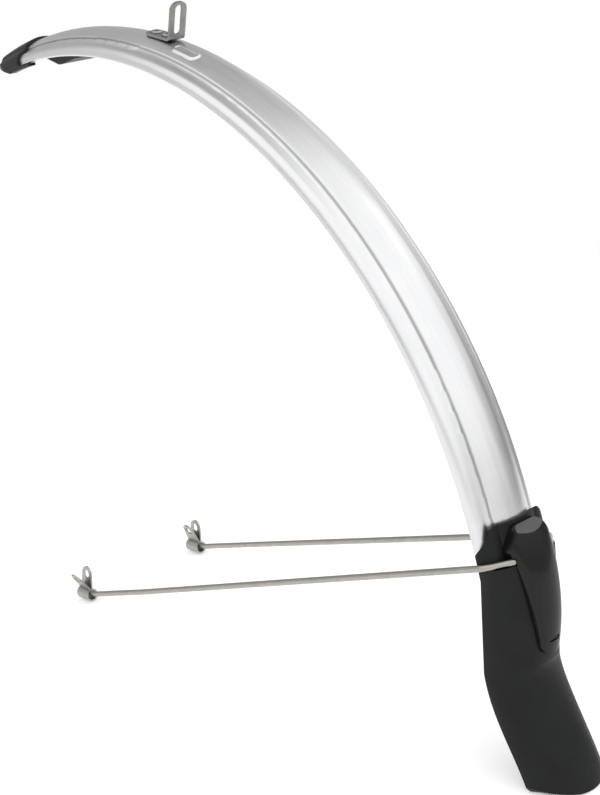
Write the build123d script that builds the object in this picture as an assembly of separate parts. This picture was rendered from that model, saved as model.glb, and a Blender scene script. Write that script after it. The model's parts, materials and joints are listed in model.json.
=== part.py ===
from build123d import *
import os
from math import cos, degrees, radians, sin

# Front mudguard for a 28 inch bicycle wheel, in millimetres.
# X points to the rear of the bicycle, Y to its right, Z up.
# The pieces are laid out about the wheel centre: an angle is measured from the top of the wheel
# towards the rear, and a radius from the wheel centre. The finished pieces are then moved so that
# the middle of the fork bracket's slot is the origin.

# Blade, a rolled aluminium channel
RIDGE_RADIUS = 350.0
CROWN_RISE = 4.3
RIDGE_HALF = 13.7
BLADE_HALF = 24.2
EDGE_DROP = 10.6
VALLEY_OUT = 3.9
VALLEY_DROP = 3.4
HOLLOW_IN = 0.3
HOLLOW_DROP = 0.35
BULGE_IN = 1.9
BULGE_RISE = 4.9
SHEET = 1.1
HEM = 0.4
BEAD_RADIUS = 1.0
BEAD_PROUD = 0.1
BLADE_FRONT = -25.6
BLADE_END = 76.0

# Oblong emboss in the crown, behind the fork bracket
EMBOSS_ANGLE = 6.6
EMBOSS_SIDE = -6.0
EMBOSS_LENGTH = 25.0
EMBOSS_WIDTH = 10.5
EMBOSS_RISE = 0.9
EMBOSS_RIM = 3.2
EMBOSS_DISH = 0.5

# Nose cap
CAP_WALL = 1.9
CAP_GAP = 0.2
CAP_FRONT = -29.0
CAP_NOSE = 30.0
CAP_LIP = 3.2
CAP_LIP_THICK = 2.4
CAP_LIP_HALF = 21.0
CAP_LIP_END = -19.4
CAP_FLANK_END = -22.0
CAP_CROWN_END = -23.0
CAP_CHIN_ANGLE = -24.3
MOUTH_ROUND = 2.0
TONGUE_HALF = 14.0
TONGUE_RISE = 6.2
TONGUE_THICK = 3.0
WEDGE_HALF = 19.0
WEDGE_START = -20.2
WEDGE_LOW = -14.9
WEDGE_LOW_END = -14.1
WEDGE_HEEL = -11.4
WEDGE_END = -10.2
WEDGE_DROP = 6.4
HEEL_DROP = 3.4
WEDGE_ROUND = 2.0

# Fork bracket, a folded steel strap
STRAP_WIDTH = 12.4
STRAP_THICK = 1.6
FOOT_LENGTH = 27.5
FOOT_X = 23.3
PLATE_HEIGHT = 24.9
PLATE_LEAN = 9.3
STRAP_BEND = 1.6
FOOT_ROUND = 5.6
PLATE_ROUND = 5.0
FOOT_GAP = 0.02
SLOT_WIDTH = 5.3
SLOT_LENGTH = 18.8
SLOT_RISE = 13.5

# Rivets of the fork bracket
RIVET_RADIUS = 2.0
RIVET_HOLE = 1.1
RIVET_HOLE_DEPTH = 2.0
RIVET_HEAD = 3.7
RIVET_HEAD_THICK = 1.1
RIVET_CHAMFER = 0.66
RIVET_TAIL = 2.9
RIVET_TAIL_THICK = 1.2
RIVET_FIT = 0.1
RIVET_PITCH = 11.4
RIVET_INSET = 9.6
WASHER_RADIUS = 4.5
WASHER_THICK = 0.8
SEAT_GAP = 0.05

# Spoiler
COLLAR_TOP = 66.3
COLLAR_MIDDLE = 67.8
COLLAR_FOOT = 68.7
COLLAR_WALL = 2.3
COLLAR_RIDGE = 1.2
COLLAR_SWELL = 2.6
COLLAR_DROP = 8.5
MIDDLE_DROP = 2.4
BODY_TOP = 70.1
BLADE_GAP = 0.2
BODY_WALL = 2.4
BODY_HALF = 26.5
BODY_HEM = 0.5
BODY_RISE = 10.9
BODY_EDGE_DROP = 6.4
BODY_EDGE_LEAN = 6.5
BODY_RIDGE = 15.2
BODY_SHOULDER = 1.1
FLANK_BULGE = 3.8
POCKET_END = 76.4
WAIST_LENGTH = 44.0
WAIST_TILT = 13.0
WAIST_RIDGE = 9.6
KINK_TILT = 21.0
KINK_DEPTH = 25.5
KINK_RIDGE = 12.0
KINK_SHOULDER = 2.4
KINK_LENGTH = 71.0
KINK_BLEND = 5.0
FLAP_LEAN = 32.0
FLAP_LENGTH = 78.0
FLAP_DEPTH = 23.5
FLAP_RIDGE = 14.5
FLAP_SHOULDER = 3.5
FLAP_BULGE = 3.3
FLAP_TIP_DROP = 13.0
FLAP_CORNER = 12.0

# Stay, one bent wire
WIRE = 4.0
WIRE_GAP = 0.1
GROOVE_GAP = 0.15
STAY_BEND = 8.0
TOE_BEND = 20.0
LEG_BEND = 40.0
BRIDGE_HALF = 15.0
SHOULDER_HALF = 27.6
SHOULDER_DROP = 2.6
KNEE_HALF = 49.2
KNEE_X = 25.3
KNEE_Z = -34.0
TOE_HALF = 51.8
TOE_X = -35.0
TOE_Z = -64.4
TOE_LENGTH = 17.0
TOE_PITCH = 12.0

# Stay clips, folded sheet
CLIP_SHEET = 1.2
CLIP_BARREL = 3.6
CLIP_LENGTH = 14.0
CLIP_BACK = 3.0
EYE_RADIUS = 5.8
EYE_BORE = 3.1
EYE_RISE = 11.4
EYE_SHIFT = 1.5
LEFT_OUTER_LEAN = 32.0
LEFT_INNER_LEAN = 7.0
RIGHT_OUTER_LEAN = 5.0
RIGHT_INNER_LEAN = 22.0

# Saddle over the bridge of the stay, with its screws
SADDLE_HALF = 9.5
SADDLE_THICK = 1.5
SADDLE_REAR = 10.0
SADDLE_BEND = 0.8
LIP_DROP = 3.0
SCREW_HALF = 4.8
SCREW_BACK = 6.3
SCREW_RADIUS = 2.0
SCREW_FIT = 0.15
SCREW_HEAD = 3.4
SCREW_HEAD_THICK = 1.7
SCREW_CHAMFER = 0.5
SCREW_LENGTH = 16.0
DRIVE_WIDTH = 0.9
DRIVE_LENGTH = 4.2
DRIVE_DEPTH = 0.9
NUT_ACROSS = 7.0
NUT_THICK = 3.2
SCREW_WASHER = 4.0

# Cover over the saddle
COVER_ANGLE = 72.0
COVER_FRONT = 33.0
COVER_NOSE_HALF = 9.0
COVER_WAIST = 20.0
COVER_HALF = 16.1
COVER_MIDDLE = 6.0
COVER_TAIL = 38.0
COVER_TAIL_HALF = 7.9
COVER_RISE = 18.3
COVER_FALL = 4.4
COVER_CHIN_DROP = 10.8
COVER_BROW = 10.0
COVER_CORNER = 5.0
COVER_RIDGE = 0.7
COVER_SHOULDER = 2.2
COVER_SIDE = 9.0
COVER_BULGE = 1.2
COVER_DEPTH = 23.0
COVER_WALL = 1.8
NOTCH_GAP = 0.4
MARK_ANGLE = 77.7
MARK_RISE = 15.9
MARK_LENGTH = 9.0
MARK_WIDTH = 3.0
MARK_DEPTH = 0.9

CROWN_RADIUS = RIDGE_RADIUS + CROWN_RISE
EDGE_RADIUS = RIDGE_RADIUS - EDGE_DROP
BODY_CROWN = RIDGE_RADIUS + BODY_RISE
BODY_EDGE = RIDGE_RADIUS - BODY_EDGE_DROP
COVER_TOP = RIDGE_RADIUS + COVER_RISE
COVER_DEEP = COVER_TOP - COVER_DEPTH

# REACH is longer than any piece. OVERRUN, in millimetres or degrees, takes a cut past what it cuts.
# The section's slanted faces grow along a direction of GROW_SHORT and GROW_LONG.
REACH = 0.6 * RIDGE_RADIUS
OVERRUN = 1.0
GROW_RIDGE = 0.4
GROW_SHORT = 0.6
GROW_LONG = 0.8
DRILL_DEPTH = 2 * EDGE_DROP
BASE = (Align.CENTER, Align.CENTER, Align.MIN)


def at(angle, radius, y=0.0):
    """A point at an angle from the top and a radius from the wheel centre."""
    return Vector(radius * sin(radians(angle)), y, radius * cos(radians(angle)))


def rearward(angle):
    """Direction along the blade, towards its rear end."""
    return Vector(cos(radians(angle)), 0, -sin(radians(angle)))


def arc_angle(length, radius):
    """Angle that an arc of some length takes up at a radius."""
    return degrees(length / radius)


def station(angle):
    """Plane across the blade at an angle: its x is the width and its y the radius."""
    return Plane(origin=(0, 0, 0), x_dir=(0, 1, 0), z_dir=rearward(angle))


def on_crown(angle, radius, y=0.0):
    """Placement with local z pointing away from the wheel and local x along the blade."""
    return Plane(origin=at(angle, radius, y), x_dir=rearward(angle), z_dir=at(angle, 1.0)).location


def flipped(point):
    return (-point[0], point[1])


def blade_section(grow, floor):
    """Closed section of all that lies under the blade's skin, grown outwards, down to a floor."""
    ridge = (RIDGE_HALF + GROW_RIDGE * grow, RIDGE_RADIUS + grow)
    valley = (RIDGE_HALF + VALLEY_OUT + GROW_SHORT * grow, RIDGE_RADIUS - VALLEY_DROP + GROW_LONG * grow)
    hollow = ((ridge[0] + valley[0]) / 2 - HOLLOW_IN, (ridge[1] + valley[1]) / 2 - HOLLOW_DROP)
    edge = (BLADE_HALF + grow, EDGE_RADIUS)
    bulge = (BLADE_HALF - BULGE_IN + GROW_LONG * grow, EDGE_RADIUS + BULGE_RISE + GROW_SHORT * grow)
    with BuildSketch() as sketch:
        with BuildLine():
            TangentArc((0, CROWN_RADIUS + grow), ridge, tangent=(1, 0))
            ThreePointArc(ridge, hollow, valley)
            ThreePointArc(valley, bulge, edge)
            Polyline(edge, (edge[0], floor), (0, floor))
            mirror(about=Plane.YZ)
        make_face()
    return sketch.sketch


def bulged(start, end, swell):
    """Middle of an arc that swells to the left of the line between two points."""
    span = Vector(end[0] - start[0], end[1] - start[1])
    out = Vector(-span.Y, span.X).normalized() * swell
    return ((start[0] + end[0]) / 2 + out.X, (start[1] + end[1]) / 2 + out.Y)


def hood_section(top, corner, side, swell, floor):
    """Closed section with a domed top, bulged flanks and upright sides down to a floor."""
    bulge = bulged(corner, side, swell)
    foot = (side[0], floor)
    with BuildSketch() as sketch:
        with BuildLine():
            ThreePointArc(flipped(corner), (0, top), corner)
            ThreePointArc(corner, bulge, side)
            Polyline(side, foot, flipped(foot), flipped(side))
            ThreePointArc(flipped(side), flipped(bulge), flipped(corner))
        make_face()
    return sketch.sketch


def side_face(corners):
    """Face seen from the side, through corners given as an angle and a radius."""
    points = [at(angle, radius) for angle, radius in corners]
    return make_face(Polyline([(point.X, point.Z) for point in points], close=True))


def across(face):
    """Extrudes a face drawn from the side through the whole width."""
    return extrude(Plane.XZ * face, amount=REACH, both=True)


def around(section, start, end):
    """Revolves a width and radius section about the wheel axis."""
    return revolve(station(start) * section, Axis.Y, revolution_arc=end - start)


def radial_prism(shape, angle, low, high, y=0.0):
    """Extrudes a flat shape, drawn along and across the blade, between two radii."""
    return extrude(on_crown(angle, low, y) * shape, amount=high - low)


def drill(angle, radius, y=0.0):
    """A bore along the radius, through everything at the crown."""
    return on_crown(angle, CROWN_RADIUS - DRILL_DEPTH, y) * Cylinder(radius, 2 * DRILL_DEPTH, align=BASE)


def rivet_angles():
    """Angles of the two rivets, set in from the bend of the bracket."""
    rear = FOOT_X - RIVET_INSET
    return [arc_angle(rear - RIVET_PITCH, CROWN_RADIUS), arc_angle(rear, CROWN_RADIUS)]


def bridge_angle():
    """Angle of the stay's bridge, which lies on the top face of the spoiler's body."""
    return BODY_TOP - arc_angle(WIRE / 2 + WIRE_GAP, CROWN_RADIUS)


def bridge_radius():
    """Radius of the bridge's axis, which lies on the spoiler's collar."""
    return CROWN_RADIUS + BLADE_GAP + COLLAR_WALL + WIRE_GAP + WIRE / 2


def screw_angle():
    return bridge_angle() + arc_angle(SCREW_BACK, CROWN_RADIUS)


def screw_slot():
    """Oblong hole across the blade that takes both screws of the saddle."""
    bore = SCREW_RADIUS + SCREW_FIT
    slot = Rot(0, 0, 90) * SlotOverall(2 * (SCREW_HALF + bore), 2 * bore)
    return radial_prism(slot, screw_angle(), CROWN_RADIUS - DRILL_DEPTH, CROWN_RADIUS + DRILL_DEPTH)


def make_blade():
    sheet = around(blade_section(0, EDGE_RADIUS - HEM), BLADE_FRONT, BLADE_END)
    sheet -= around(blade_section(-SHEET, EDGE_RADIUS - EDGE_DROP), BLADE_FRONT - OVERRUN, BLADE_END + OVERRUN)
    for side in (-1, 1):
        bead = Pos(side * (BLADE_HALF - BEAD_RADIUS + BEAD_PROUD), EDGE_RADIUS) * Circle(BEAD_RADIUS)
        sheet += around(bead, BLADE_FRONT, BLADE_END)
    half_turn = arc_angle(EMBOSS_LENGTH, RIDGE_RADIUS)
    start = EMBOSS_ANGLE - half_turn
    end = EMBOSS_ANGLE + half_turn
    deep = EDGE_RADIUS - HEM
    high = CROWN_RADIUS + CROWN_RISE
    pad = around(blade_section(EMBOSS_RISE, deep), start, end)
    pad -= around(blade_section(-SHEET, deep - SHEET), start - OVERRUN, end + OVERRUN)
    rim = SlotOverall(EMBOSS_LENGTH, EMBOSS_WIDTH)
    sheet += pad & radial_prism(rim, EMBOSS_ANGLE, EDGE_RADIUS + CROWN_RISE, high, EMBOSS_SIDE)
    dish = around(blade_section(EMBOSS_RISE + SHEET, deep), start, end)
    dish -= around(blade_section(-EMBOSS_DISH, deep - SHEET), start - OVERRUN, end + OVERRUN)
    inner = SlotOverall(EMBOSS_LENGTH - 2 * EMBOSS_RIM, EMBOSS_WIDTH - 2 * EMBOSS_RIM)
    sheet -= dish & radial_prism(inner, EMBOSS_ANGLE, EDGE_RADIUS + CROWN_RISE, high, EMBOSS_SIDE)
    for angle in rivet_angles():
        sheet -= drill(angle, RIVET_RADIUS + RIVET_FIT)
    return sheet - screw_slot()


def make_nose_cap():
    skin = CAP_GAP + CAP_WALL
    low = EDGE_RADIUS - CAP_LIP
    body = around(blade_section(skin, low), CAP_FRONT, CAP_LIP_END)
    nose = at(CAP_FRONT, CROWN_RADIUS).X + CAP_NOSE
    half = BLADE_HALF + skin + CAP_GAP
    plan = Pos(nose, 0) * Ellipse(CAP_NOSE, half) + Pos(nose + REACH / 2, 0) * Rectangle(REACH, 2 * half)
    body &= extrude(Pos(0, 0, at(CAP_CHIN_ANGLE, low).Z) * plan, amount=REACH)
    inside = BLADE_FRONT - arc_angle(CAP_GAP, RIDGE_RADIUS)
    beyond = CAP_LIP_END + OVERRUN
    body -= around(blade_section(CAP_GAP, EDGE_RADIUS - BEAD_RADIUS - CAP_GAP), inside, beyond)
    roof = EDGE_RADIUS + TONGUE_RISE
    channel = Pos(0, roof - CAP_NOSE / 2) * Rectangle(2 * CAP_LIP_HALF, CAP_NOSE)
    body -= around(channel, CAP_FRONT - OVERRUN, beyond)
    lip = low + CAP_LIP_THICK
    high = CROWN_RADIUS + CAP_NOSE
    trim = side_face([(CAP_CROWN_END, high), (CAP_FLANK_END, lip), (beyond, lip), (beyond, high)])
    body -= across(fillet(trim.vertices().group_by(Axis.Y)[0], MOUTH_ROUND))
    tongue = Pos(0, roof + CAP_GAP + TONGUE_THICK / 2) * Rectangle(2 * TONGUE_HALF, TONGUE_THICK)
    root = roof + OVERRUN
    wedge = side_face([(WEDGE_START, root), (WEDGE_LOW, EDGE_RADIUS - WEDGE_DROP),
                       (WEDGE_LOW_END, EDGE_RADIUS - WEDGE_DROP), (WEDGE_HEEL, EDGE_RADIUS - HEEL_DROP),
                       (WEDGE_END, root)])
    wedge = fillet(wedge.vertices().sort_by(Axis.Y)[:2], WEDGE_ROUND)
    start = inside - OVERRUN
    hook = around(tongue, start, WEDGE_END) + extrude(Plane.XZ * wedge, amount=WEDGE_HALF, both=True)
    return body + (hook & around(blade_section(-SHEET - CAP_GAP, low - WEDGE_DROP), start, WEDGE_END + OVERRUN))


def plate_plane():
    """Plane on the rear face of the bracket's plate, with local y up the plate."""
    lean = radians(PLATE_LEAN)
    return Plane(origin=(FOOT_X, 0, CROWN_RADIUS + FOOT_GAP), x_dir=(0, 1, 0), z_dir=(cos(lean), 0, -sin(lean)))


def slot_middle():
    """Middle of the bracket's slot, halfway through the plate."""
    return plate_plane().from_local_coords(Vector(0, SLOT_RISE, -STRAP_THICK / 2))


def folded_strip(points, thick, bend):
    """Section of a folded sheet: a line with its own bend radius and the sheet on its left."""
    line = FilletPolyline(points, radius=bend)
    return make_face(offset(line, amount=thick, side=Side.LEFT))


def make_fork_bracket():
    base = CROWN_RADIUS + FOOT_GAP
    lean = radians(PLATE_LEAN)
    toe = (FOOT_X - FOOT_LENGTH, base)
    top = (FOOT_X + PLATE_HEIGHT * sin(lean), base + PLATE_HEIGHT * cos(lean))
    strip = folded_strip([toe, (FOOT_X, base), top], STRAP_THICK, STRAP_BEND + STRAP_THICK)
    body = extrude(Plane.XZ * strip, amount=STRAP_WIDTH / 2, both=True)
    plan = Pos(toe[0] + REACH / 2, 0) * Rectangle(REACH, STRAP_WIDTH)
    plan = fillet(plan.vertices().group_by(Axis.X)[0], FOOT_ROUND)
    body &= extrude(plan, amount=base + REACH)
    face = Pos(0, PLATE_HEIGHT - REACH / 2) * Rectangle(STRAP_WIDTH, REACH)
    face = fillet(face.vertices().group_by(Axis.Y)[-1], PLATE_ROUND)
    body &= extrude(plate_plane() * face, amount=REACH, both=True)
    slot = Pos(0, SLOT_RISE) * Rot(0, 0, 90) * SlotOverall(SLOT_LENGTH, SLOT_WIDTH)
    body -= extrude(plate_plane() * slot, amount=2 * STRAP_THICK, both=True)
    for angle in rivet_angles():
        body -= drill(angle, RIVET_RADIUS + RIVET_FIT)
    return body


def washer_top(y, reach):
    """Radius just inside the blade, where a flat washer first touches the dome."""
    far = (abs(y) + reach) / RIDGE_HALF
    return RIDGE_RADIUS + CROWN_RISE * (1 - far * far) - SHEET - SEAT_GAP


def make_washer(angle, y, radius, bore):
    low = washer_top(y, radius) - WASHER_THICK
    ring = on_crown(angle, low, y) * Cylinder(radius, WASHER_THICK, align=BASE)
    return ring - drill(angle, bore, y)


def make_rivet(angle):
    """Rivet with a chamfered, holed head on the strap and a rolled tail under its washer."""
    lean = radians(angle)
    top = (CROWN_RADIUS + FOOT_GAP + STRAP_THICK) / cos(lean) + RIVET_HEAD * abs(sin(lean)) + SEAT_GAP
    tail = washer_top(0, WASHER_RADIUS) - WASHER_THICK - SEAT_GAP
    shank = on_crown(angle, tail) * Cylinder(RIVET_RADIUS, top - tail, align=BASE)
    head = Cylinder(RIVET_HEAD, RIVET_HEAD_THICK, align=BASE)
    head = chamfer(head.edges().group_by(Axis.Z)[-1], RIVET_CHAMFER)
    foot = on_crown(angle, tail - RIVET_TAIL_THICK) * Cylinder(RIVET_TAIL, RIVET_TAIL_THICK, align=BASE)
    hole = Cylinder(RIVET_HOLE, RIVET_HOLE_DEPTH + OVERRUN, align=BASE)
    hole = on_crown(angle, top + RIVET_HEAD_THICK - RIVET_HOLE_DEPTH) * hole
    return shank + on_crown(angle, top) * head + foot - hole


def share_of(start, end, share):
    return start + (end - start) * share


def edge_point(length):
    """Point on the side edge of the spoiler, some way down from the top of its body."""
    lean = radians(BODY_EDGE_LEAN)
    straight = min(length, KINK_LENGTH)
    point = at(BODY_TOP, BODY_EDGE) + Vector(sin(lean), 0, -cos(lean)) * straight
    slope = radians(FLAP_LEAN)
    return point + Vector(sin(slope), 0, -cos(slope)) * (length - straight)


def tilted(tilt):
    """Direction out of the spoiler's back at a tilt above the horizontal."""
    return Vector(cos(radians(tilt)), 0, sin(radians(tilt)))


def crown_depth(point, tilt):
    """Depth that brings the spoiler's back onto the radius of its crown."""
    reach = point.dot(tilted(tilt))
    return -reach + (reach ** 2 - point.length ** 2 + BODY_CROWN ** 2) ** 0.5


def body_section(length, tilt, depth, ridge, shoulder, swell, inset):
    """Section of the spoiler's body at one place, inset for its inner side."""
    frame = Plane(origin=edge_point(length), x_dir=(0, 1, 0), z_dir=tilted(tilt - 90))
    corner = (ridge - inset / 2, depth - shoulder - inset)
    floor = -EDGE_DROP if inset > 0 else -BODY_HEM
    return frame * hood_section(depth - inset, corner, (BODY_HALF - inset, 0), swell, floor)


def spoiler_body(inset):
    """The spoiler's body, and the flap that leans rearwards below its kink."""
    body = []
    for share in (0, 1 / 3, 2 / 3, 1):
        length = share * WAIST_LENGTH
        tilt = share_of(90 - BODY_TOP, WAIST_TILT, share)
        depth = crown_depth(edge_point(length), tilt)
        ridge = share_of(BODY_RIDGE, WAIST_RIDGE, share)
        body.append(body_section(length, tilt, depth, ridge, BODY_SHOULDER, FLANK_BULGE, inset))
    place = KINK_LENGTH - KINK_BLEND
    kink = body_section(place, KINK_TILT, KINK_DEPTH, KINK_RIDGE, KINK_SHOULDER, FLAP_BULGE, inset)
    flap = [kink]
    for length in (KINK_BLEND, FLAP_LENGTH / 2, FLAP_LENGTH + KINK_BLEND):
        place = KINK_LENGTH + length
        flap.append(body_section(place, FLAP_LEAN, FLAP_DEPTH, FLAP_RIDGE, FLAP_SHOULDER, FLAP_BULGE, inset))
    return loft(body + [kink]) + loft(flap)


def flap_outline():
    """Face on the flap's inner plane: all that is kept of the spoiler, with its rounded end."""
    half = BODY_HALF + OVERRUN
    low = FLAP_LENGTH - FLAP_TIP_DROP
    with BuildSketch() as sketch:
        with BuildLine():
            ThreePointArc((-half, low), (0, FLAP_LENGTH), (half, low))
            Polyline((half, low), (half, -REACH), (-half, -REACH), (-half, low))
        make_face()
        fillet(sketch.vertices().group_by(Axis.Y)[1], FLAP_CORNER)
    frame = Plane(origin=edge_point(KINK_LENGTH), x_dir=(0, -1, 0), z_dir=tilted(FLAP_LEAN))
    return frame * sketch.sketch


def collar_section(grow):
    """Section of the spoiler's collar, with flanks flush with the body's, grown outwards."""
    rise = BLADE_GAP + COLLAR_WALL + grow
    ridge = (RIDGE_HALF + COLLAR_RIDGE + grow, RIDGE_RADIUS + rise)
    side = (BODY_HALF + grow, BODY_EDGE)
    return hood_section(CROWN_RADIUS + rise, ridge, side, COLLAR_SWELL, EDGE_RADIUS - EDGE_DROP)


def collar_rim():
    """Side outline of the collar, whose rim slants rearwards down the flanks."""
    low = RIDGE_RADIUS - COLLAR_DROP
    end = BODY_TOP + OVERRUN
    high = BODY_CROWN + EDGE_DROP
    rim = [(COLLAR_TOP, high), (COLLAR_TOP, RIDGE_RADIUS + COLLAR_WALL)]
    rim += [(COLLAR_MIDDLE, RIDGE_RADIUS - MIDDLE_DROP), (COLLAR_FOOT, low)]
    return side_face(rim + [(end, low), (end, high)])


def stay_points():
    """Corners of the left half of the stay, from the toe in the clip to the bridge."""
    pitch = radians(TOE_PITCH)
    toe = Vector(TOE_X, -TOE_HALF, TOE_Z)
    end = toe - Vector(cos(pitch), 0, sin(pitch)) * TOE_LENGTH
    knee = Vector(KNEE_X, -KNEE_HALF, KNEE_Z)
    shoulder = at(bridge_angle(), RIDGE_RADIUS - SHOULDER_DROP, -SHOULDER_HALF)
    return [end, toe, knee, shoulder, at(bridge_angle(), bridge_radius(), -BRIDGE_HALF)]


def wire(radius):
    """Round wire along the path of the stay."""
    left = stay_points()
    right = [Vector(point.X, -point.Y, point.Z) for point in reversed(left)]
    bends = [TOE_BEND, LEG_BEND, STAY_BEND, STAY_BEND]
    path = FilletPolyline(left + right, radius=bends + bends[::-1])
    return sweep(Plane(origin=path @ 0, z_dir=path % 0) * Circle(radius), path=path)


def make_spoiler():
    beyond = on_crown(POCKET_END, 0) * Pos(REACH / 2, 0, RIDGE_RADIUS) * Box(REACH, REACH, 2 * REACH)
    inner = spoiler_body(BODY_WALL) & beyond
    collar = around(collar_section(0), COLLAR_TOP - OVERRUN, BODY_TOP + OVERRUN) & across(collar_rim())
    body = spoiler_body(0) & extrude(flap_outline(), amount=REACH, both=True)
    start = COLLAR_TOP - 2 * OVERRUN
    pocket = around(blade_section(BLADE_GAP, EDGE_RADIUS - EDGE_DROP - OVERRUN), start, POCKET_END)
    body = body - pocket - inner + (collar - pocket)
    return body - screw_slot() - wire(WIRE / 2 + GROOVE_GAP)


def saddle_low():
    """Radius of the saddle's underside, which lies on the bridge."""
    return bridge_radius() + WIRE / 2 + WIRE_GAP


def make_saddle():
    base = saddle_low()
    front = -WIRE / 2 - WIRE_GAP
    points = [(front, base - LIP_DROP), (front, base), (SADDLE_REAR, base)]
    strip = folded_strip(points, SADDLE_THICK, SADDLE_BEND)
    body = on_crown(bridge_angle(), 0) * extrude(Plane.XZ * strip, amount=SADDLE_HALF, both=True)
    for side in (-1, 1):
        body -= drill(screw_angle(), SCREW_RADIUS + SCREW_FIT, side * SCREW_HALF)
    return body


def saddle_top():
    """Radius of the saddle's top face where the screws stand."""
    return (saddle_low() + SADDLE_THICK) / cos(radians(screw_angle() - bridge_angle())) + SEAT_GAP


def make_saddle_screw(side):
    head = Cylinder(SCREW_HEAD, SCREW_HEAD_THICK, align=BASE)
    head = chamfer(head.edges().group_by(Axis.Z)[-1], SCREW_CHAMFER)
    for turn in (0, 90):
        drive = Rot(0, 0, turn) * Box(DRIVE_LENGTH, DRIVE_WIDTH, 2 * DRIVE_DEPTH)
        head -= Pos(0, 0, SCREW_HEAD_THICK) * drive
    shank = Pos(0, 0, -SCREW_LENGTH) * Cylinder(SCREW_RADIUS, SCREW_LENGTH, align=BASE)
    return on_crown(screw_angle(), saddle_top(), side * SCREW_HALF) * (head + shank)


def make_saddle_washer(side):
    return make_washer(screw_angle(), side * SCREW_HALF, SCREW_WASHER, SCREW_RADIUS + SCREW_FIT)


def make_saddle_nut(side):
    y = side * SCREW_HALF
    top = washer_top(y, SCREW_WASHER) - WASHER_THICK - SEAT_GAP
    nut = extrude(RegularPolygon(NUT_ACROSS / 2, 6, major_radius=False), amount=NUT_THICK)
    return on_crown(screw_angle(), top - NUT_THICK, y) * nut - drill(screw_angle(), SCREW_RADIUS + SEAT_GAP, y)


def cover_plan(inset):
    """Outline of the cover seen from outside, about its middle."""
    front = -COVER_FRONT + inset
    tail = COVER_TAIL_HALF - inset
    corners = [(front, COVER_NOSE_HALF - inset), (-COVER_WAIST, COVER_HALF - inset), (COVER_TAIL, tail)]
    plan = make_face(Polyline(corners + [(x, -y) for x, y in reversed(corners)], close=True))
    plan = fillet(plan.vertices().filter_by_position(Axis.X, front - OVERRUN, 0), COVER_CORNER)
    return plan + Pos(COVER_TAIL, 0) * Circle(tail)


def cover_section(x, inset):
    """Section across the cover at a place along it: lower and narrower towards its tail."""
    share = (x - COVER_MIDDLE) / (COVER_TAIL - COVER_MIDDLE)
    top = COVER_TOP - COVER_FALL * share * share
    taper = (COVER_HALF - COVER_TAIL_HALF) / (COVER_TAIL + COVER_WAIST)
    half = COVER_HALF - taper * max(0, x + COVER_WAIST)
    scale = half / COVER_HALF
    corner = (COVER_RIDGE * half - inset / 2, top - COVER_SHOULDER * scale - inset)
    side = (half + CAP_GAP - inset, top - COVER_SIDE * scale - inset)
    section = hood_section(top - inset, corner, side, COVER_BULGE * scale, COVER_DEEP)
    return Plane(origin=(x, 0, 0), x_dir=(0, 1, 0), z_dir=(1, 0, 0)) * section


def cover_block(inset):
    """The cover as a solid, or what is inside its walls when inset."""
    end = COVER_TAIL + COVER_TAIL_HALF + OVERRUN
    places = [-COVER_FRONT - OVERRUN, -COVER_WAIST, 0, COVER_TAIL / 2, COVER_TAIL, end]
    block = loft([cover_section(x, inset) for x in places])
    block &= extrude(Pos(0, 0, COVER_DEEP - OVERRUN) * cover_plan(inset), amount=2 * COVER_DEPTH)
    front = -COVER_FRONT + inset
    chin = COVER_TOP - COVER_CHIN_DROP - inset
    ahead = front - 2 * OVERRUN
    brow = [(ahead, chin), (front, chin), (front + COVER_BROW, COVER_TOP), (ahead, COVER_TOP)]
    return on_crown(COVER_ANGLE, 0) * (block - across(make_face(Polyline(brow, close=True))))


def make_stay_cover():
    cover = cover_block(0) - cover_block(COVER_WALL)
    cover -= around(collar_section(WIRE_GAP), COLLAR_TOP - 2 * OVERRUN, BODY_TOP)
    cover -= spoiler_body(-WIRE_GAP)
    notch = Rectangle(WIRE + 2 * NOTCH_GAP, REACH)
    cover -= radial_prism(notch, bridge_angle(), COVER_DEEP - OVERRUN, bridge_radius() + WIRE / 2 + WIRE_GAP)
    mark = Rot(0, 0, 90) * SlotOverall(MARK_LENGTH, MARK_WIDTH)
    low = RIDGE_RADIUS + MARK_RISE - MARK_DEPTH
    return cover - radial_prism(mark, MARK_ANGLE, low, low + COVER_DEPTH)


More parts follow.
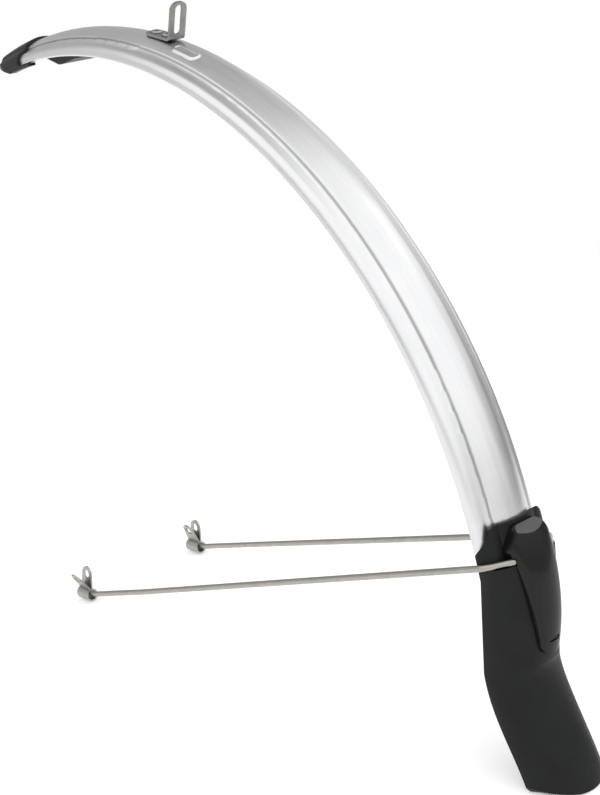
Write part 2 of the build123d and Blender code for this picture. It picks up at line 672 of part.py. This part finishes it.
def make_stay_clip(outer_lean, inner_lean, side):
    """Folded sheet around the stay's toe, with two eyes that spread from the seam on top."""
    pitch = radians(TOE_PITCH)
    along = Vector(cos(pitch), 0, sin(pitch))
    up = Vector(-sin(pitch), 0, cos(pitch))
    toe = Vector(TOE_X, side * TOE_HALF, TOE_Z)
    middle = toe - along * (CLIP_BACK + CLIP_LENGTH / 2) - up * (CLIP_BARREL - WIRE / 2 - SEAT_GAP)
    ring = Circle(CLIP_BARREL + CLIP_SHEET) - Circle(CLIP_BARREL)
    slit = Pos(0, CLIP_BARREL + CLIP_SHEET) * Rectangle(2 * SEAT_GAP, 4 * CLIP_SHEET)
    clip = extrude(ring, amount=CLIP_LENGTH / 2, both=True)
    root = (CLIP_SHEET / 2 + SEAT_GAP, CLIP_BARREL + CLIP_SHEET / 2)
    tab = make_face(Polyline((-CLIP_LENGTH / 2, 0), (CLIP_LENGTH / 2, 0), (EYE_SHIFT + EYE_RADIUS, EYE_RISE),
                             (EYE_SHIFT - EYE_RADIUS, EYE_RISE), close=True))
    tab += Pos(EYE_SHIFT, EYE_RISE) * Circle(EYE_RADIUS)
    tab -= Pos(EYE_SHIFT, EYE_RISE) * Circle(EYE_BORE)
    for hand, lean in ((side, outer_lean), (-side, inner_lean)):
        out = Vector(cos(radians(lean)), -hand * sin(radians(lean)), 0)
        face = Plane(origin=(hand * root[0], root[1], 0), x_dir=(0, 0, 1), z_dir=out * -1)
        clip += extrude(face * tab, amount=CLIP_SHEET / 2, both=True)
    clip -= extrude(slit, amount=CLIP_LENGTH, both=True)
    clip -= extrude(Circle(CLIP_BARREL), amount=CLIP_LENGTH, both=True)
    return Plane(origin=middle, x_dir=(0, 1, 0), z_dir=along).location * clip


def make_pieces():
    front, rear = rivet_angles()
    bore = RIVET_RADIUS + RIVET_FIT
    return {
        "blade": make_blade(),
        "nose_cap": make_nose_cap(),
        "fork_bracket": make_fork_bracket(),
        "bracket_rivet_front": make_rivet(front),
        "bracket_rivet_rear": make_rivet(rear),
        "rivet_washer_front": make_washer(front, 0, WASHER_RADIUS, bore),
        "rivet_washer_rear": make_washer(rear, 0, WASHER_RADIUS, bore),
        "spoiler": make_spoiler(),
        "stay": wire(WIRE / 2),
        "stay_saddle": make_saddle(),
        "saddle_screw_left": make_saddle_screw(-1),
        "saddle_screw_right": make_saddle_screw(1),
        "saddle_washer_left": make_saddle_washer(-1),
        "saddle_washer_right": make_saddle_washer(1),
        "saddle_nut_left": make_saddle_nut(-1),
        "saddle_nut_right": make_saddle_nut(1),
        "stay_cover": make_stay_cover(),
        "stay_clip_left": make_stay_clip(LEFT_OUTER_LEAN, LEFT_INNER_LEAN, -1),
        "stay_clip_right": make_stay_clip(RIGHT_OUTER_LEAN, RIGHT_INNER_LEAN, 1),
    }


os.makedirs("parts", exist_ok=True)
origin = slot_middle()
for name, piece in make_pieces().items():
    export_step(Pos(-origin.X, -origin.Y, -origin.Z) * piece, "parts/" + name + ".step")
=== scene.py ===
import json
import math

import bmesh
import bpy
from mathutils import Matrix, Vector


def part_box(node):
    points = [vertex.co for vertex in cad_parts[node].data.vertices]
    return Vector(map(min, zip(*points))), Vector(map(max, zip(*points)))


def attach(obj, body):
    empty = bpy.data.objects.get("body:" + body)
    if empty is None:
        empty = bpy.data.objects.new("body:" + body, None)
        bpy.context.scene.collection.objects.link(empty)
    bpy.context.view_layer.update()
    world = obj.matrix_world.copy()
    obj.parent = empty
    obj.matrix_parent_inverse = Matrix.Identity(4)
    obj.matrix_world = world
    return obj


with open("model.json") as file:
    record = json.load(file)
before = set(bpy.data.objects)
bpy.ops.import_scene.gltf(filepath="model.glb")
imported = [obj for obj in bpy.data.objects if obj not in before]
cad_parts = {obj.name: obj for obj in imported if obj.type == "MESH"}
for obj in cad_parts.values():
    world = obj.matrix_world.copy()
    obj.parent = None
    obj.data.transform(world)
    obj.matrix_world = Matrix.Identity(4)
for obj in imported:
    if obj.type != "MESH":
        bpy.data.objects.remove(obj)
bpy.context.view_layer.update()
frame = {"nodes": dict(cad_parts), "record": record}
nodes = frame["nodes"]

# Places are in metres in the row frame, whose origin is the middle of the fork bracket's slot.
# X points to the rear of the bicycle, y to its right and z up. WHEEL is the middle of the axle.
WHEEL = Vector((-0.0246922, 0.0, -0.367772))
BLADE_RADIUS = 0.35
FLAP_TIP_REACH = 0.36


# Helpers

def add_object(name, data):
    """A new object in the scene."""
    thing = bpy.data.objects.new(name, data)
    bpy.context.scene.collection.objects.link(thing)
    return thing


def aim(thing, target):
    """Turns a lamp or a camera, which looks along its own -z, towards a place."""
    thing.rotation_euler = (Vector(target) - thing.location).to_track_quat("-Z", "Y").to_euler()


def new_material(name):
    """A new material, and the shader in its node tree."""
    material = bpy.data.materials.new(name)
    material.use_nodes = True
    return material, material.node_tree.nodes["Principled BSDF"]


def set_sockets(shader, values):
    """Sets constants on a shader's sockets."""
    for name, value in values.items():
        shader.inputs[name].default_value = value


class NodeTree:
    """The nodes of a material or of the world, with short calls for the ones that both use."""

    def __init__(self, tree):
        self.nodes = tree.nodes
        self.links = tree.links

    def link(self, source, target):
        self.links.new(source, target)

    def feed(self, value, socket):
        """Sets a number on a socket, or links another node's output to it."""
        if isinstance(value, (int, float)):
            socket.default_value = value
        else:
            self.link(value, socket)

    def math(self, operation, first, second=0.0):
        node = self.nodes.new("ShaderNodeMath")
        node.operation = operation
        self.feed(first, node.inputs[0])
        self.feed(second, node.inputs[1])
        return node.outputs[0]

    def split(self, vector):
        node = self.nodes.new("ShaderNodeSeparateXYZ")
        self.link(vector, node.inputs["Vector"])
        return node.outputs

    def smooth_step(self, value, start, end):
        """Goes softly from 0 at the start to 1 at the end, which may be the lower of the two."""
        node = self.nodes.new("ShaderNodeMapRange")
        node.interpolation_type = "SMOOTHSTEP"
        node.inputs["From Min"].default_value = start
        node.inputs["From Max"].default_value = end
        self.link(value, node.inputs["Value"])
        return node.outputs["Result"]


class Surface(NodeTree):
    """A material under construction, with short calls for its textures."""

    def __init__(self, name):
        self.material, self.shader = new_material(name)
        super().__init__(self.material.node_tree)
        self.place = self.nodes.new("ShaderNodeTexCoord").outputs["Object"]

    def drive(self, source, socket):
        """Links a texture to one of the shader's sockets."""
        self.link(source, self.shader.inputs[socket])

    def noise(self, vector, scale, detail, rough=0.5):
        node = self.nodes.new("ShaderNodeTexNoise")
        node.inputs["Scale"].default_value = scale
        node.inputs["Detail"].default_value = detail
        node.inputs["Roughness"].default_value = rough
        self.link(vector, node.inputs["Vector"])
        return node.outputs["Fac"]

    def stretched(self, places, factors):
        """A vector for a noise: three places, each times a factor. A small one draws the noise out."""
        node = self.nodes.new("ShaderNodeCombineXYZ")
        for place, factor, socket in zip(places, factors, node.inputs):
            self.link(self.math("MULTIPLY", place, factor), socket)
        return node.outputs["Vector"]

    def blend(self, *layers):
        """Sum of textures, each times its share."""
        total = 0.0
        for texture, share in layers:
            total = self.math("ADD", self.math("MULTIPLY", texture, share), total)
        return total

    def ramp(self, value, low, high):
        """Colour or grey between two stops, each a position with its tone."""
        node = self.nodes.new("ShaderNodeValToRGB")
        for element, (position, tone) in zip(node.color_ramp.elements, (low, high)):
            colour = tone if isinstance(tone, tuple) else (tone, tone, tone)
            element.position = position
            element.color = (*colour, 1.0)
        self.link(value, node.inputs["Fac"])
        return node.outputs["Color"]

    def shaded(self, colour, shade):
        """A colour times a grey."""
        node = self.nodes.new("ShaderNodeVectorMath")
        node.operation = "MULTIPLY"
        self.link(colour, node.inputs[0])
        self.link(shade, node.inputs[1])
        return node.outputs["Vector"]

    def bump(self, height, distance, strength):
        node = self.nodes.new("ShaderNodeBump")
        node.inputs["Distance"].default_value = distance
        node.inputs["Strength"].default_value = strength
        self.link(height, node.inputs["Height"])
        self.drive(node.outputs["Normal"], "Normal")

    def around_wheel(self):
        """Angle in radians from the top, side and radius in metres, about the wheel's axle."""
        x, y, z = self.split(self.place)
        x = self.math("SUBTRACT", x, WHEEL.x)
        z = self.math("SUBTRACT", z, WHEEL.z)
        square = self.math("ADD", self.math("MULTIPLY", x, x), self.math("MULTIPLY", z, z))
        return self.math("ARCTAN2", x, z), y, self.math("SQRT", square)


# Aluminium of the blade

BLADE_DULL = (0.64, 0.643, 0.65)
BLADE_BRIGHT = (0.76, 0.762, 0.77)
BLADE_GLOSSY = 0.26
BLADE_ROUGH = 0.36
BLADE_ANISOTROPIC = 0.35
BLADE_STOPS = (0.3, 0.7)
LINE_SCALE = 1800.0
LINE_STRETCH = (0.02, 1.0, 0.6)
LINE_SHARE = 0.35
LINE_DEPTH = 0.00002
LINE_STRENGTH = 0.35
BAND_SCALE = 160.0
BAND_STRETCH = (0.05, 1.0, 1.0)
BAND_SHARE = 0.35
BLADE_CLOUD_SCALE = 26.0
BLADE_CLOUD_SHARE = 0.3
# Painted shade: a thin dark line in the blade's colour along each creased edge of the crown band
CREASE_SIDE = 0.0147
CREASE_SHARPNESS = 900.0
CREASE_STOPS = (0.2, 0.8)
CREASE_SHADE = 0.5


def blade_material():
    """Satin rolled aluminium: fine rolling lines along the blade and a slow change of gloss.

    A thin dark line of painted shade runs along each creased edge of the crown band.
    """
    surface = Surface("blade_aluminium")
    set_sockets(surface.shader, {"Metallic": 1.0, "Anisotropic": BLADE_ANISOTROPIC})
    angle, side, radius = surface.around_wheel()
    along = surface.math("MULTIPLY", angle, BLADE_RADIUS)
    line_place = surface.stretched((along, side, radius), LINE_STRETCH)
    band_place = surface.stretched((along, side, radius), BAND_STRETCH)
    lines = surface.noise(line_place, LINE_SCALE, detail=4.0)
    bands = surface.noise(band_place, BAND_SCALE, detail=2.0)
    cloud = surface.noise(surface.place, BLADE_CLOUD_SCALE, detail=4.0)
    mixed = surface.blend((lines, LINE_SHARE), (bands, BAND_SHARE), (cloud, BLADE_CLOUD_SHARE))
    low, high = BLADE_STOPS
    tone = surface.ramp(mixed, (low, BLADE_DULL), (high, BLADE_BRIGHT))
    rough = surface.ramp(mixed, (low, BLADE_GLOSSY), (high, BLADE_ROUGH))
    # Painted shade: the blade's colour is darkened in a thin line along each creased edge of the crown band
    off_crease = surface.math("SUBTRACT", surface.math("ABSOLUTE", side), CREASE_SIDE)
    away = surface.math("MULTIPLY", surface.math("ABSOLUTE", off_crease), CREASE_SHARPNESS)
    core, edge = CREASE_STOPS
    painted_crease_shade = surface.ramp(away, (core, CREASE_SHADE), (edge, 1.0))
    surface.drive(surface.shaded(tone, painted_crease_shade), "Base Color")
    surface.drive(rough, "Roughness")
    surface.bump(lines, LINE_DEPTH, LINE_STRENGTH)
    return surface.material


# Steels

STEEL_STOPS = (0.35, 0.65)
STEEL_DARKER = 0.82
STEEL_ROUGHER = 0.08
MARK_SCALE = 900.0
MARK_SHARE = 0.5
MARK_DEPTH = 0.00003
MARK_STRENGTH = 0.4
STEEL_CLOUD_SCALE = 130.0
STEEL_CLOUD_SHARE = 0.5
STEELS = {
    "bracket_steel": {"tone": (0.29, 0.29, 0.275), "rough": 0.34},
    "rivet_metal": {"tone": (0.40, 0.40, 0.39), "rough": 0.32},
    "stay_steel": {"tone": (0.42, 0.40, 0.37), "rough": 0.26},
    "clip_steel": {"tone": (0.42, 0.41, 0.39), "rough": 0.30},
    "fastener_steel": {"tone": (0.58, 0.58, 0.57), "rough": 0.34},
}


def steel_material(name, tone, rough):
    """Steel with fine marks and a cloud, darker and rougher where they are low."""
    surface = Surface(name)
    set_sockets(surface.shader, {"Metallic": 1.0})
    marks = surface.noise(surface.place, MARK_SCALE, detail=4.0, rough=0.6)
    cloud = surface.noise(surface.place, STEEL_CLOUD_SCALE, detail=3.0)
    mixed = surface.blend((marks, MARK_SHARE), (cloud, STEEL_CLOUD_SHARE))
    dark = tuple(STEEL_DARKER * part for part in tone)
    low, high = STEEL_STOPS
    surface.drive(surface.ramp(mixed, (low, dark), (high, tone)), "Base Color")
    surface.drive(surface.ramp(mixed, (low, rough + STEEL_ROUGHER), (high, rough)), "Roughness")
    surface.bump(marks, MARK_DEPTH, MARK_STRENGTH)
    return surface.material


# Plastics

FLOW_SCALE = 34.0
FLOW_TONE_STOPS = (0.35, 0.7)
FLOW_ROUGH_STOPS = (0.3, 0.7)
FLOW_LIGHTER = 1.5
FLOW_ROUGHER = 0.07
GRAIN_STRENGTH = 0.6
COAT_ROUGH = 0.08
PLASTICS = {
    "black_plastic": {"tone": (0.009, 0.0095, 0.010), "rough": 0.42, "specular": 0.2, "coat": 0.0,
                      "grain": 1500.0, "depth": 0.00006},
    "spoiler_plastic": {"tone": (0.008, 0.0085, 0.0085), "rough": 0.45, "specular": 0.16, "coat": 0.0,
                        "grain": 1300.0, "depth": 0.00008},
    "cover_plastic": {"tone": (0.004, 0.004, 0.0045), "rough": 0.2, "specular": 0.2, "coat": 0.15,
                      "grain": 900.0, "depth": 0.00002},
}


def moulded_material(name, tone, rough, specular, coat, grain, depth):
    """Moulded plastic with a fine spark-eroded grain, and faint flow marks that are lighter and rougher."""
    surface = Surface(name)
    set_sockets(surface.shader, {"Specular IOR Level": specular, "Coat Weight": coat,
                                 "Coat Roughness": COAT_ROUGH})
    fine = surface.noise(surface.place, grain, detail=3.0, rough=0.55)
    flow = surface.noise(surface.place, FLOW_SCALE, detail=3.0)
    light = tuple(FLOW_LIGHTER * part for part in tone)
    low, high = FLOW_TONE_STOPS
    surface.drive(surface.ramp(flow, (low, tone), (high, light)), "Base Color")
    low, high = FLOW_ROUGH_STOPS
    surface.drive(surface.ramp(flow, (low, rough), (high, rough + FLOW_ROUGHER)), "Roughness")
    surface.bump(fine, depth, GRAIN_STRENGTH)
    return surface.material


# Materials and even shading for the CAD pieces

materials = {"blade_aluminium": blade_material()}
materials |= {name: moulded_material(name, **look) for name, look in PLASTICS.items()}
materials |= {name: steel_material(name, **look) for name, look in STEELS.items()}

for part in frame["record"]["subparts"]:
    node = nodes[part["node"]]
    even = node.modifiers.new("even_shading", "WEIGHTED_NORMAL")
    even.keep_sharp = True
    for place in node.material_slots:
        place.material = materials[part["material_slot"]]


# Oblong emboss pressed up in the crown, behind the fork bracket

# The crown's radius about the axle, and its radius across the blade
CROWN_RADIUS = 0.3543
CROWN_ARC = 0.02397

EMBOSS_ANGLE = math.radians(6.6)
EMBOSS_SIDE = -0.006
EMBOSS_HALF_LENGTH = 0.0125
EMBOSS_HALF_WIDTH = 0.0046
EMBOSS_STRAIGHT = EMBOSS_HALF_LENGTH - EMBOSS_HALF_WIDTH

# From its outline the emboss rises as far in as EMBOSS_EDGE, and from there it falls as far in as EMBOSS_RIM
EMBOSS_RISE = 0.0009
EMBOSS_EDGE = 0.0019
EMBOSS_DISH = 0.0006
EMBOSS_RIM = 0.0034

# The outline lies a hair under the crown, and the shell's bottom ring at the root below that
EMBOSS_SINK = 0.00002
EMBOSS_ROOT = 0.0004

EMBOSS_RINGS = 16
EMBOSS_AROUND = 96


def eased(value, start, end):
    """Smooth step from 0 to 1."""
    share = min(1.0, max(0.0, (value - start) / (end - start)))
    return share * share * (3.0 - 2.0 * share)


def emboss_height(along, side):
    """Height over the crown: a rounded rim that rises from the outline, and a shallow dish inside it."""
    over = max(0.0, abs(along) - EMBOSS_STRAIGHT)
    inside = EMBOSS_HALF_WIDTH - math.hypot(over, side)
    rim = EMBOSS_RISE * eased(inside, 0.0, EMBOSS_EDGE)
    dish = EMBOSS_DISH * eased(inside, EMBOSS_EDGE, EMBOSS_RIM)
    return rim - dish - EMBOSS_SINK


def on_crown(along, side, height):
    """A point at a height over the crown, from its place along and across the emboss."""
    y = EMBOSS_SIDE + side
    radius = CROWN_RADIUS - CROWN_ARC + math.sqrt(CROWN_ARC ** 2 - y ** 2) + height
    angle = EMBOSS_ANGLE + along / CROWN_RADIUS
    return WHEEL.x + radius * math.sin(angle), y, WHEEL.z + radius * math.cos(angle)


def emboss_ring(mesh, reach, sink):
    """Oblong ring of points at a reach from the middle line, some way below the emboss's height."""
    ring = []
    for turn in range(EMBOSS_AROUND):
        angle = 2.0 * math.pi * (turn + 0.5) / EMBOSS_AROUND
        along = math.copysign(EMBOSS_STRAIGHT, math.cos(angle)) + reach * math.cos(angle)
        side = reach * math.sin(angle)
        ring.append(mesh.verts.new(on_crown(along, side, emboss_height(along, side) - sink)))
    return ring


def crown_emboss():
    """Closed thin shell on the crown: oblong rings of points, from the outline in to the middle line."""
    mesh = bmesh.new()
    rings = [emboss_ring(mesh, EMBOSS_HALF_WIDTH, EMBOSS_ROOT)]
    for step in range(EMBOSS_RINGS):
        rings.append(emboss_ring(mesh, EMBOSS_HALF_WIDTH * (1.0 - step / EMBOSS_RINGS), 0.0))
    for outer, inner in zip(rings, rings[1:]):
        for turn in range(EMBOSS_AROUND):
            nearby = (turn + 1) % EMBOSS_AROUND
            mesh.faces.new((outer[turn], outer[nearby], inner[nearby], inner[turn]))
    mesh.faces.new(rings[-1])
    mesh.faces.new(rings[0][::-1])
    bmesh.ops.triangulate(mesh, faces=[face for face in mesh.faces if len(face.verts) > 4])
    bmesh.ops.recalc_face_normals(mesh, faces=mesh.faces[:])
    data = bpy.data.meshes.new("crown_emboss")
    mesh.to_mesh(data)
    mesh.free()
    for face in data.polygons:
        face.use_smooth = True
    data.materials.append(materials["blade_aluminium"])
    piece = add_object("crown_emboss", data)
    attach(piece, "root")


crown_emboss()


# Floor

WHITE = (1.0, 1.0, 1.0, 1.0)
FLOOR_SIZE = 14.0
FLOOR_RIGHT = 0.9
FLOOR_GAP = 0.001
FLOOR_TONE = (0.93, 0.93, 0.93, 1.0)
FLOOR_ROUGH = 0.9
FLOOR_GLOW = 0.25


def floor_plane():
    """A plane just under the left clip and the flap's tip, which ends at the right, behind the object."""
    low_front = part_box("stay_clip_left")[0]
    low_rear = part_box("spoiler")[0][2]
    run = WHEEL.x + FLAP_TIP_REACH - low_front[0]
    slope = math.atan2(low_rear - low_front[2], run)
    middle = (low_front[0], FLOOR_RIGHT - FLOOR_SIZE / 2, low_front[2] - FLOOR_GAP)
    bpy.ops.mesh.primitive_plane_add(size=FLOOR_SIZE, location=middle, rotation=(0, -slope, 0))
    floor = bpy.context.object
    floor.name = "studio_floor"
    material, shader = new_material("studio_floor")
    set_sockets(shader, {"Base Color": FLOOR_TONE, "Roughness": FLOOR_ROUGH,
                         "Emission Color": WHITE, "Emission Strength": FLOOR_GLOW})
    floor.data.materials.append(material)


floor_plane()


# World

# Each edge says where a bank of light starts and where it is full, in one part of the direction from
# which the light comes. The lean is x with a little y.
LEAN = 0.2
REAR_BANK = {"lean": (-0.4, 0.2), "z": (0.0, 0.6)}
LEFT_BANK = {"y": (-0.08, -0.28), "z": (0.2, 0.42), "x": (-0.98, -0.6)}
LOW_LEFT = {"y": (0.05, -0.3)}
LOW_RIGHT = {"y": (0.55, 0.8), "x": (-0.05, -0.3), "z": (0.5, 0.3)}
DARK_FLAG = {"y": (0.8, 0.95), "x": (-0.15, 0.0), "z": (0.35, 0.1)}

GREY = 0.5
BANK_POWER = 0.85
LOW_LEFT_POWER = 0.8
LOW_RIGHT_POWER = 0.9
FLAG_POWER = 0.45


def studio_world():
    """White to the camera. To the object: grey, with soft banks of light and a dark flag."""
    world = bpy.data.worlds.new("studio")
    world.use_nodes = True
    tree = NodeTree(world.node_tree)
    x, y, z = tree.split(tree.nodes.new("ShaderNodeTexCoord").outputs["Generated"])
    lean = tree.math("ADD", x, tree.math("MULTIPLY", y, LEAN))
    directions = {"x": x, "y": y, "z": z, "lean": lean}

    def bank(edges, power):
        value = power
        for axis, (start, end) in edges.items():
            value = tree.math("MULTIPLY", tree.smooth_step(directions[axis], start, end), value)
        return value

    high = tree.math("MAXIMUM", bank(REAR_BANK, BANK_POWER), bank(LEFT_BANK, BANK_POWER))
    low = tree.math("MAXIMUM", bank(LOW_LEFT, LOW_LEFT_POWER), bank(LOW_RIGHT, LOW_RIGHT_POWER))
    glow = tree.math("MAXIMUM", tree.math("ADD", high, GREY), low)
    glow = tree.math("MULTIPLY", glow, tree.math("SUBTRACT", 1.0, bank(DARK_FLAG, FLAG_POWER)))
    seen = tree.nodes.new("ShaderNodeLightPath").outputs["Is Camera Ray"]
    sky = tree.nodes["Background"]
    sky.inputs["Color"].default_value = WHITE
    tree.link(tree.math("MAXIMUM", glow, seen), sky.inputs["Strength"])
    return world


bpy.context.scene.world = studio_world()
bpy.context.scene.view_settings.view_transform = "Standard"


# Soft box

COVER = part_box("stay_cover")[1]
SOFT_BOX_REAR = 0.04
SOFT_BOX_SIDE = 1.07
SOFT_BOX_RISE = 1.18
SOFT_BOX_SIZE = 0.16
SOFT_BOX_POWER = 0.45


def soft_box():
    """A small lamp on the right, high above the glossy cover, which gives it its highlight."""
    data = bpy.data.lights.new("soft_box_rear", "AREA")
    data.size = SOFT_BOX_SIZE
    data.energy = SOFT_BOX_POWER
    lamp = add_object("soft_box_rear", data)
    lamp.location = (COVER[0] + SOFT_BOX_REAR, SOFT_BOX_SIDE, COVER[2] + SOFT_BOX_RISE)
    aim(lamp, COVER)


soft_box()


# Camera of the photograph

CAMERA_PLACE = (0.7813023, -0.5820357, 0.2127845)
CAMERA_TARGET = (0.1160539, 0.0, -0.2196487)
CAMERA_LENS = 70.194
CAMERA_SENSOR = 36.0


def photo_camera():
    """The camera that sees the object as the photograph does."""
    data = bpy.data.cameras.new("camera")
    data.sensor_fit = "AUTO"
    data.sensor_width = CAMERA_SENSOR
    data.lens = CAMERA_LENS
    camera = add_object("camera", data)
    camera.location = CAMERA_PLACE
    aim(camera, CAMERA_TARGET)
    return camera


bpy.context.scene.camera = photo_camera()
